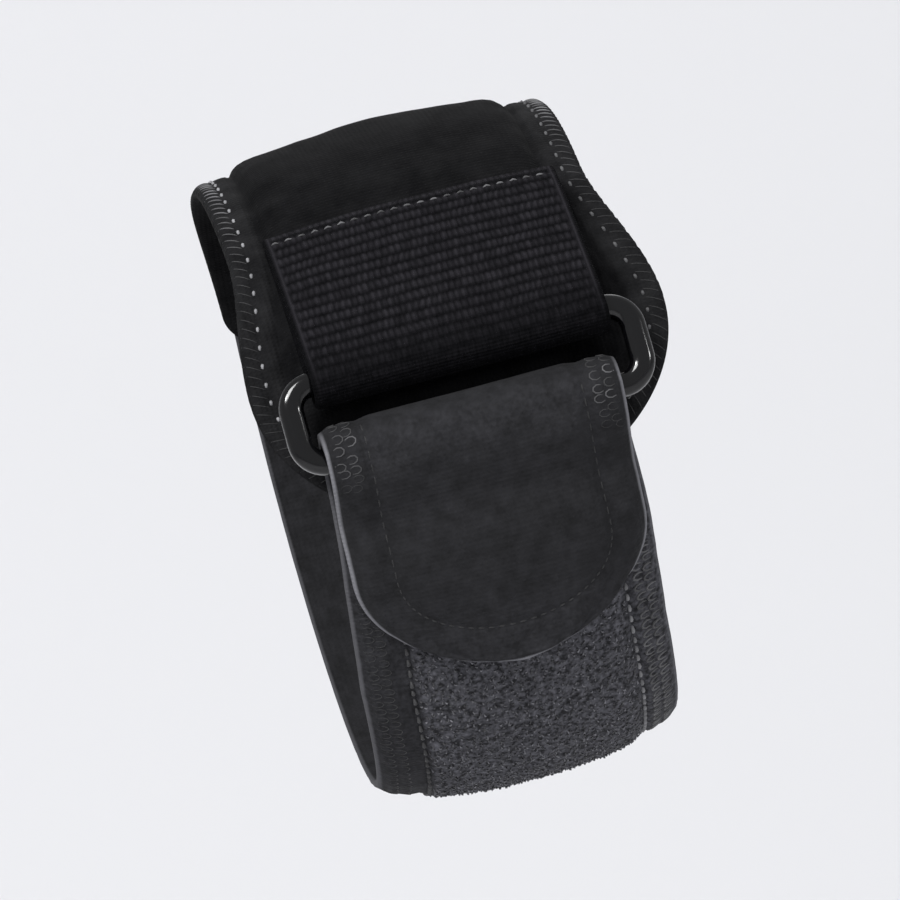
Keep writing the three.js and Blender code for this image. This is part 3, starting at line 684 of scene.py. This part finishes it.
# Relief of both faces, along the normal of each: the pressed stitch lines, the edge's bead and the soft,
# uneven foam. The margin is wider at the wrist's side than at the elbow's.
LEFT_MARGIN, RIGHT_MARGIN, TAB_MARGIN, STRAP_PITCH = 7.8, 6.3, 6.6, 2.1
normal_rows = smooth_side - loop_side
normal_rows = -normal_rows / np.linalg.norm(normal_rows, axis=-1, keepdims=True)
on_run = 1 - ease(fold_from - 4, fold_from, strap_along)
on_tab = ease(fold_to - 6, fold_to, strap_along)
margin = LEFT_MARGIN + (RIGHT_MARGIN - LEFT_MARGIN) * ease(-3, 3, strap_x)
pile = ease(0.0, 1.4, strap_inset - margin)
loop_relief = on_run * (
    -0.4 * np.exp(-(((strap_inset - margin) / 0.6) ** 2))
    + 0.2 * ripple(strap_along, strap_x, 3.2, 21) * pile
    + 0.14 * ripple(strap_along, strap_x, 14, 22)
    + 0.10 * ripple(strap_run, 0 * strap_run, 4.6, 23) * (1 - pile)
)
fold_puff = np.exp(-(((strap_along - fold_to) / 7) ** 2)) * ease(1.5, 7, strap_inset)
smooth_relief = on_tab * (
    -0.28 * np.exp(-(((strap_inset - TAB_MARGIN) / 0.7) ** 2))
    + 0.22 * np.exp(-(((strap_inset - 0.9) / 0.5) ** 2))
    + 0.07 * ripple(strap_run, 0 * strap_run, 3.4, 27) * (1 - ease(4, 7, strap_inset))
    + 0.14 * ripple(strap_along, strap_x, 17, 24) + 0.05 * ripple(strap_along, strap_x, 5, 25)
    + 0.6 * ripple(strap_along, strap_x, 8, 26) * fold_puff
)
# The smooth face is painted a little paler on the fold and towards the tab's tip: painted light, where the
# fold catches the light and where the tab is lit more
painted_light_on_tab = on_tab * np.maximum(fold_puff, ease(fold_to + 24, fold_to + 38, strap_along))
loop_side = loop_side + normal_rows * loop_relief[..., None]
smooth_side = smooth_side - normal_rows * smooth_relief[..., None]

strap_cloth = cloth_mesh(
    "strap_cloth",
    np.concatenate([strap_x[..., None], loop_side], -1),
    np.concatenate([strap_x[..., None], smooth_side], -1),
    {
        "along": (strap_along, strap_along),
        "across": (strap_x, strap_x),
        "inset": (strap_inset, strap_inset),
        # The rim mark sets where the painted highlight line along the cut edge shows, strongest round the tab
        "rim": (0 * pile + 0.4, 0.3 + 0.7 * on_tab),
        # On the smooth face this share is painted light on the tab's fold and tip, not pile
        "pile": (on_run * np.maximum(pile, 0.15 + 0.53 * ease(-3, 3, strap_x)), 0.1 * painted_light_on_tab),
    },
)
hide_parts("loop_strap")

# Brushed nylon laminate: charcoal, quite matt, with a fine nap on the smooth face and a lighter cut edge
# where the foam shows, painted paler still as a highlight line along the edge. Its knit is 0.5 mm apart,
# drawn at 0.9 mm. The nap lies in patches of 3 mm, and the tufts of the loop face are 0.9 mm apart.
laminate, tree, shader = new_material(
    "nylon_laminate",
    {"Roughness": 0.9, "Sheen Weight": 0.012, "Sheen Roughness": 0.5, "Specular IOR Level": 0.06},
)
place = add_node(tree, "TexCoord").outputs["Object"]
nap = add_node(tree, "TexNoise", {"Vector": place, "Scale": 1 / (3.03 * MM), "Detail": 6.0, "Roughness": 0.7})
smooth_tone = two_tone(tree, nap.outputs["Fac"], "#151516", "#212123", 0.32, 0.7)
# The pile's tufts, 0.9 mm apart, are drawn as pale and dark specks: random tone together with painted light
# and shade
tufted = {"Vector": place, "Scale": 1 / (0.909 * MM), "Detail": 2.0, "Roughness": 0.6}
tuft_light_and_shade = add_node(tree, "TexNoise", tufted)
pile_tone = two_tone(tree, tuft_light_and_shade.outputs["Fac"], "#1e1e20", "#4e4e53", 0.36, 0.72)
# The pile mark also carries the painted light on the tab, which mixes in the pile's paler tone
pile_and_painted_light_mark = add_node(tree, "Attribute", attribute_name="pile").outputs["Fac"]
mixed = add_node(tree, "MixRGB", {"Fac": pile_and_painted_light_mark, "Color1": smooth_tone, "Color2": pile_tone})
inset_mark = add_node(tree, "Attribute", attribute_name="inset").outputs["Fac"]
rim_mark = add_node(tree, "Attribute", attribute_name="rim").outputs["Fac"]
rim_width = add_node(
    tree, "MapRange", {"Value": inset_mark, "From Min": 0.3, "From Max": 0.65, "To Min": 1.0, "To Max": 0.0}
)
rim_share = add_node(tree, "Math", {0: rim_width.outputs["Result"], 1: rim_mark}, operation="MULTIPLY")
# Painted highlight: the cut edge is painted pale as a line of light along the strap's edge, over the foam's
# lighter tone
pale_edge_and_highlight = {"Fac": rim_share.outputs[0], "Color1": mixed.outputs["Color"], "Color2": linear("#5f5f63")}
edged = add_node(tree, "MixRGB", pale_edge_and_highlight)
tree.links.new(edged.outputs["Color"], shader.inputs["Base Color"])
wales, courses = rows_of(tree, "across", 0.9), rows_of(tree, "along", 0.8)
knit = add_node(tree, "Math", {0: wales, 1: courses}, operation="MULTIPLY")
height = add_node(tree, "Math", {0: nap.outputs["Fac"], 1: 4.0, 2: knit.outputs[0]}, operation="MULTIPLY_ADD")
bump = add_node(tree, "Bump", {"Strength": 0.5, "Distance": 0.00012, "Height": height.outputs[0]})
tree.links.new(bump.outputs["Normal"], shader.inputs["Normal"])
strap_cloth.data.materials.append(laminate)


# Loop pile
# Unbroken nylon loops, about 0.7 mm wide, brushed all ways, that stand on the strap's outer face and that the
# hooks catch in.
def on_strap(places, side, outward):
    """Points of one face at flat places, and its normals there: the grid's own points between its rows and
    columns, weighted by how near each is."""
    shape, places = places.shape[:-1] + (3,), places.reshape(-1, 2)
    row = np.interp(places[:, 0], strap_length, np.arange(len(strap_length)))
    low = np.clip(row.astype(int), 0, len(strap_length) - 2)
    part = row - low
    left = strap_x[low, 0] * (1 - part) + strap_x[low + 1, 0] * part
    right = strap_x[low, -1] * (1 - part) + strap_x[low + 1, -1] * part
    column = np.clip((places[:, 1] - left) / (right - left), 0, 1) * (strap_x.shape[1] - 1)
    first = np.clip(column.astype(int), 0, strap_x.shape[1] - 2)
    rest = column - first
    mix = lambda grid: (
        grid[low, first].T * (1 - part) * (1 - rest) + grid[low + 1, first].T * part * (1 - rest)
        + grid[low, first + 1].T * (1 - part) * rest + grid[low + 1, first + 1].T * part * rest
    ).T
    normal = np.concatenate([np.zeros((len(places), 1)), outward * mix(normal_rows)], 1)
    return np.concatenate([places[:, 1:], mix(side)], 1).reshape(shape), normal.reshape(shape)


pile_pitch = 1.05
grid_along, grid_across = np.meshgrid(
    np.arange(2, fold_from - 3, pile_pitch * 0.87), np.arange(-27, 27, pile_pitch), indexing="ij"
)
grid_across = grid_across + pile_pitch / 2 * (np.arange(len(grid_along)) % 2)[:, None]
spots = np.stack([grid_along.ravel(), grid_across.ravel()], 1)
spots = spots + random.uniform(-0.5, 0.5, spots.shape)
spot_inset, _ = from_outline(spots[:, 0], spots[:, 1], strap_outline)
spot_margin = np.where(spots[:, 1] < 0, LEFT_MARGIN, RIGHT_MARGIN) + 0.6
beyond = np.abs(spots[:, 1] - np.interp(spots[:, 0], strap_length, strap_x[:, 60]))
spots = spots[(spot_inset > spot_margin) & (beyond < np.interp(spots[:, 0], strap_length, strap_x[:, -1]))]
heading = random.uniform(0, 2 * np.pi, len(spots))
reach = random.uniform(0.4, 0.8, len(spots))[:, None] * np.stack([np.cos(heading), np.sin(heading)], 1)
pile_places = spots[:, None, :] + reach[:, None, :] * np.linspace(-1, 1, 4)[:, None] / 2
loop_points, loop_normals = on_strap(pile_places, loop_side, 1)
loop_normals = loop_normals + 0.35 * random.uniform(-1, 1, (len(spots), 1, 3))
# Random tone, with the palest loops standing as painted highlights
pile_tint_and_glints = random.uniform(0, 1, len(spots)) ** 1.6 * (0.75 + 0.25 * ripple(spots[:, 0], spots[:, 1], 9, 31))
pile_tint_and_glints = np.clip(pile_tint_and_glints, 0, 1)
loop_pile = threads("loop_pile", loop_points, loop_normals, radius=0.16, rise=0.22, tint=pile_tint_and_glints, sides=3)

# Nylon monofilament loops, half clear: loops of random tone, the palest painted pale as specks of caught
# light, which are painted highlights
nylon, tree, shader = new_material(
    "nylon_loops", {"Roughness": 0.5, "Sheen Weight": 0.05, "Specular IOR Level": 0.25}
)
tint_mark = add_node(tree, "Attribute", attribute_name="tint").outputs["Fac"]
tree.links.new(two_tone(tree, tint_mark, "#29292b", "#66666b", 0.0, 0.9), shader.inputs["Base Color"])
loop_pile.data.materials.append(nylon)

# Stitching of the strap
# A needle row beside the pile and round the tab, and the overlock's looped strands between it and the edge.
# The thread is pale on the elbow's side and where the fold stretches it, and black elsewhere.
def stitch_run(name, places, radius, rise, tint, side, outward):
    """Stitches on one face of the strap along flat paths."""
    piece = threads(name, *on_strap(places, side, outward), radius, rise, tint)
    piece.data.materials.append(sewing_thread)
    return piece


outline_length = lengths(strap_outline)[-1]
at = np.linspace(0, outline_length, int(outline_length / STRAP_PITCH), endpoint=False)[:, None]
at = at + 1.6 * np.linspace(0, 1, 5)
left_row, right_row = beside(strap_outline, LEFT_MARGIN, at), beside(strap_outline, RIGHT_MARGIN, at)
places = np.where(left_row[..., 1:] < 0, left_row, right_row)
elbow_side = ease(-2, 2, places[:, 0, 1])
row_tint = 0.05 + elbow_side * random.uniform(0.26, 0.46, len(at))
kept = (places[:, 0, 0] < fold_from - 3) & (places[:, 0, 0] > 6)
ROW_RADIUS, ROW_RISE, TAB_ROW_RADIUS, TAB_ROW_RISE = 0.34, 0.34, 0.15, 0.03
stitch_run("strap_stitch_row", places[kept], ROW_RADIUS, ROW_RISE, row_tint[kept], loop_side, 1)
places = beside(strap_outline, TAB_MARGIN, at)
kept = places[:, 0, 0] > fold_to - 3
stitch_run("tab_stitch_row", places[kept], TAB_ROW_RADIUS, TAB_ROW_RISE, 0 * row_tint[kept], smooth_side, -1)

# Two staggered columns of the overlock's loops, each an oval 1.9 mm by 1.3 mm
round_angle = np.linspace(0, 1.9 * np.pi, 9)
at = np.arange(16, outline_length - 16, 0.95)
column_inset = np.where(np.arange(len(at)) % 2, 2.0, 3.9)[:, None]
oval_inset = column_inset - 0.95 * np.cos(round_angle)
places = beside(strap_outline, oval_inset, at[:, None] + 0.65 * np.sin(round_angle))
places = places + random.uniform(-0.15, 0.15, (len(at), 1, 2))
elbow_side = ease(-2, 2, places[:, 0, 1])
loop_tint = (0.02 + 0.12 * elbow_side) * random.uniform(0.5, 1.4, len(at))
kept = (places[:, 0, 0] < fold_from - 4) & (places[:, 0, 0] > 5)
loop_radius = (0.07 + 0.15 * elbow_side)[kept]
stitch_run("strap_overlock", places[kept], loop_radius, 0.05, loop_tint[kept], loop_side, 1)

# Where the fold stretches the overlock, its loops are pulled open and out of line, and some show pale
places = places + random.uniform(-0.45, 0.45, (len(at), 1, 2))
near_fold = np.exp(-((np.maximum(places[:, 0, 0] - fold_to, 0) / 4) ** 2))
kept = (places[:, 0, 0] > fold_from + 2) & (near_fold > 0.05)
open_tint = 0.02 + 0.2 * near_fold * random.uniform(0, 1, len(at)) ** 2.5
open_radius = 0.04 + 0.09 * near_fold
stitch_run("tab_overlock", places[kept], open_radius[kept], 0.03, open_tint[kept], smooth_side, -1)

# Box stitch
# The strap's end is sewn down on the pad's back end with a rectangle and a cross, in the same spun polyester
# as the seams.
box_line = np.array([[3, -19], [3, 19], [12, 19], [12, -19], [3, -19], [12, 19]], float)
cross_line = np.array([[12, -19], [3, 19]], float)
box_places = []
for line in (box_line, cross_line):
    reach = lengths(line)
    along_line = np.arange(0, reach[-1] - 2.2, 2.8)[:, None] + 2.1 * np.linspace(0, 1, 5)
    box_places.append(np.stack([np.interp(along_line, reach, line[:, i]) for i in (0, 1)], -1))
box_places = np.concatenate(box_places)
BOX_RADIUS, BOX_RISE = 0.3, 0.42
stitch_run("box_stitch", box_places, BOX_RADIUS, BOX_RISE, np.full(len(box_places), 0.5), loop_side, 1)

# Hook patch
# Moulded hook tape of polypropylene, sewn inside the tab. It is hidden, so it is a plain sheet with rows, and
# its hooks face the strap's loops.
hook_end = TAB_ROUND - np.degrees(HOOK_INSET / OVAL_HEIGHT)
hook_turns = np.concatenate([
    np.arange(HOOK_TURN, round_turn, -1.0), round_turn - hook_end * np.sin(np.radians(np.linspace(2, 86, 16)))
])[::-1]
hook_turn = hook_turns[:, None] + np.zeros((1, 41))
hook_width = (1 - np.clip((round_turn - hook_turn) / hook_end, 0, 1) ** TAB_ROUNDNESS) ** (1 / TAB_ROUNDNESS)
hook_x = TAB_DRIFT + np.linspace(-1, 1, 41)[None, :] * hook_width * (TAB_HALF - HOOK_INSET)
hook_lift = strap_face(hook_turn + 360, hook_x) + CLEARANCE
hook_sheet = cloth_mesh(
    "hook_sheet",
    np.stack([hook_x, *off_forearm(hook_turn, hook_lift + HOOK_THICK)], axis=-1),
    np.stack([hook_x, *off_forearm(hook_turn, hook_lift)], axis=-1),
    {"across": (hook_x, hook_x)},
)
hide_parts("hook_patch")

# Polypropylene, extruded: plain black with a satin face, and its rows of hooks 1.2 mm apart
hook_plastic, tree, shader = new_material(
    "black_polypropylene", {"Base Color": linear("#101012"), "Roughness": 0.45}
)
bump = add_node(tree, "Bump", {"Strength": 0.8, "Distance": 0.0003, "Height": rows_of(tree, "across", 1.2)})
tree.links.new(bump.outputs["Normal"], shader.inputs["Normal"])
hook_sheet.data.materials.append(hook_plastic)

# Floor and backdrop
# One pale sheet of paper, far below the strap and curved up behind it.
sweep_angle = np.radians(np.linspace(0, 90, 24))
sweep_y = np.concatenate([[-3.0], 0.9 + 0.6 * np.sin(sweep_angle), [1.5]])
sweep_z = np.concatenate([[-0.32], -0.32 + 0.6 * (1 - np.cos(sweep_angle)), [3.0]])
points = np.stack([np.repeat([-4.0, 4.0], len(sweep_y)), np.tile(sweep_y, 2), np.tile(sweep_z, 2)], axis=1)
number = np.arange(len(points)).reshape(2, -1)
mesh = bpy.data.meshes.new("paper_sweep")
sweep_faces = np.stack([number[0, :-1], number[1, :-1], number[1, 1:], number[0, 1:]], -1)
mesh.from_pydata(points, [], sweep_faces.tolist())
mesh.shade_smooth()
paper_sweep = bpy.data.objects.new("paper_sweep", mesh)
bpy.context.collection.objects.link(paper_sweep)
paper, tree, shader = new_material("matt_paper", {"Base Color": linear("#e2e2e4"), "Roughness": 0.9})
paper_sweep.data.materials.append(paper)


# Lights
# A soft box above and to the left, small ones that show in the ring, a faint one behind, and an even sky.
def soft_box(name, place, size, power):
    """Square area light at a place, turned to the strap."""
    light = bpy.data.lights.new(name, "AREA")
    light.size, light.energy = size, power
    lamp = bpy.data.objects.new(name, light)
    lamp.location = place
    lamp.rotation_euler = (-Vector(place)).to_track_quat("-Z", "Y").to_euler()
    bpy.context.collection.objects.link(lamp)


soft_box("key_light", (-0.4, -0.85, 0.75), 0.4, 15.0)
soft_box("left_glint", (-0.6, -0.75, 0.7), 0.14, 6.0)
soft_box("right_glint", (0.85, -0.7, 0.15), 0.14, 3.0)
soft_box("back_light", (0.25, 0.55, 0.7), 0.5, 1.5)
world = bpy.data.worlds.new("even_sky")
world.use_nodes = True
world.node_tree.nodes["Background"].inputs["Color"].default_value = linear("#f2f3f5")
world.node_tree.nodes["Background"].inputs["Strength"].default_value = 0.8
bpy.context.scene.world = world
bpy.context.scene.view_settings.view_transform = "Standard"

# Camera
# Level with the strap, 6.4 degrees to the wrist's side, and rolled so that the forearm's line rises to the
# right.
VIEW_YAW, VIEW_ROLL, VIEW_DISTANCE = np.radians(6.4), np.radians(14.85), 1.2
camera_data = bpy.data.cameras.new("camera")
camera = bpy.data.objects.new("camera", camera_data)
bpy.context.collection.objects.link(camera)
aim = np.array([0.00015, -0.004, 0.0])
back = np.array([-np.sin(VIEW_YAW), -np.cos(VIEW_YAW), 0.0])
level = np.array([np.cos(VIEW_YAW), -np.sin(VIEW_YAW), 0.0])
upright = np.array([0.0, 0.0, 1.0])
right = level * np.cos(VIEW_ROLL) - upright * np.sin(VIEW_ROLL)
top = level * np.sin(VIEW_ROLL) + upright * np.cos(VIEW_ROLL)
matrix = np.eye(4)
matrix[:3, :3] = np.stack([right, top, back], axis=1)
matrix[:3, 3] = aim + back * VIEW_DISTANCE
camera.matrix_world = Matrix(matrix.tolist())
camera_data.sensor_width = 36.0
camera_data.lens = 292.0
camera_data.clip_start, camera_data.clip_end = 0.05, 20.0
bpy.context.scene.camera = camera
